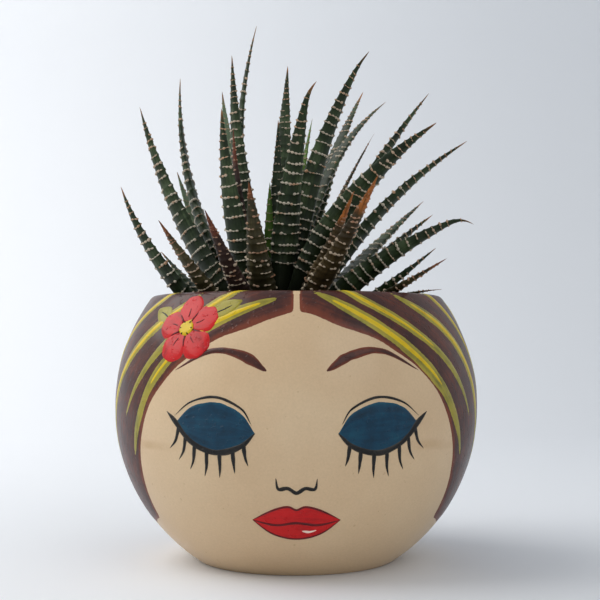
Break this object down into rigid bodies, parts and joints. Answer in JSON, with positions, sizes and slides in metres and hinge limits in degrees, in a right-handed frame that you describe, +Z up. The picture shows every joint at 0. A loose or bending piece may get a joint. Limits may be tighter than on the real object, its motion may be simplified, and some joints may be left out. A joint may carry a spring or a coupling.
{
  "type": "head planter",
  "caption": "Round hand-painted clay head planter with a calm painted face, drainage layer, potting mix and a rosette succulent with banded pointed leaves.",
  "frame": {"origin": "centre of the pot's foot, on the surface it stands on", "axes": "+Z up along the pot's axis; the painted face looks along -Y; +X is to the viewer's right of the face"},
  "size_m": [0.13, 0.13, 0.1958],
  "materials": {
    "pot_clay": "burnished and hand painted, satin varnish",
    "net_plastic": "matt",
    "fired_clay_balls": "rough and porous",
    "potting_mix": "loose and gritty",
    "root_ball": "matted roots and soil",
    "stem": "fleshy",
    "leaf_green": "waxy with raised white bands",
    "leaf_young": "waxy with faint bands",
    "leaf_aged": "waxy, browning, with raised white bands",
    "leaf_pale": "waxy, grey green, with raised white bands"
  },
  "bodies": {
    "root": {"pot": "pot_clay", "drain_net": "net_plastic", "drainage_clay_balls": "fired_clay_balls", "potting_mix": "potting_mix", "root_ball": "root_ball", "stem": "stem", "leaf_01": "leaf_aged", "leaf_02": "leaf_green", "leaf_03": "leaf_aged", "leaf_04": "leaf_green", "leaf_05": "leaf_green", "leaf_06": "leaf_green", "leaf_07": "leaf_green", "leaf_08": "leaf_green", "leaf_09": "leaf_aged", "leaf_10": "leaf_aged", "leaf_11": "leaf_green", "leaf_12": "leaf_green", "leaf_13": "leaf_green", "leaf_14": "leaf_green", "leaf_15": "leaf_green", "leaf_16": "leaf_pale", "leaf_17": "leaf_aged", "leaf_18": "leaf_aged", "leaf_19": "leaf_green", "leaf_20": "leaf_pale", "leaf_21": "leaf_green", "leaf_22": "leaf_pale", "leaf_23": "leaf_green", "leaf_24": "leaf_aged", "leaf_25": "leaf_green", "leaf_26": "leaf_green", "leaf_27": "leaf_green", "leaf_28": "leaf_green", "leaf_29": "leaf_green", "leaf_30": "leaf_green", "leaf_31": "leaf_aged", "leaf_32": "leaf_green", "leaf_33": "leaf_aged", "leaf_34": "leaf_green", "leaf_35": "leaf_green", "leaf_36": "leaf_green", "leaf_37": "leaf_young", "leaf_38": "leaf_green", "leaf_39": "leaf_green", "leaf_40": "leaf_green", "leaf_41": "leaf_young", "leaf_42": "leaf_young"}
  },
  "joints": []
}
